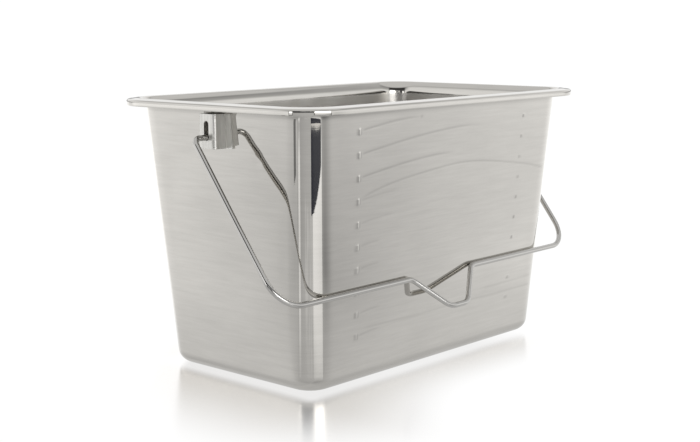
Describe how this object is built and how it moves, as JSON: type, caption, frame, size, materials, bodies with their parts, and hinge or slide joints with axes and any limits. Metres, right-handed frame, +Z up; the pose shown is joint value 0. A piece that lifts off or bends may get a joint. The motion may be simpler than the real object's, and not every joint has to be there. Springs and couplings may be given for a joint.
{
  "type": "feed bucket",
  "caption": "Tapered rectangular steel bucket with rounded corners, a flanged rim, and a swinging wire bail with a hand grip, hung in slotted brackets on its end walls.",
  "frame": {"origin": "centre of the footprint, on the surface that the bucket stands on", "axes": "+Z up; X along the long side; the bail rests against the long side that faces -Y"},
  "size_m": [0.3746, 0.224, 0.216],
  "materials": {
    "polished_shell": "mirror-polished stainless steel sheet with faint draw marks",
    "bracket_steel": "bright stainless steel sheet, lightly brushed",
    "bail_wire": "bright-drawn stainless steel wire, polished"
  },
  "bodies": {
    "bucket": {"bucket_shell": "polished_shell", "left_bracket": "bracket_steel", "right_bracket": "bracket_steel"},
    "bail": {"bail": "bail_wire"}
  },
  "joints": [
    {"name": "bail_swing", "type": "hinge", "parent": "bucket", "child": "bail", "pos_m": [0, 0, 0.191], "axis": [-1, 0, 0], "range_deg": [0, 285]}
  ]
}
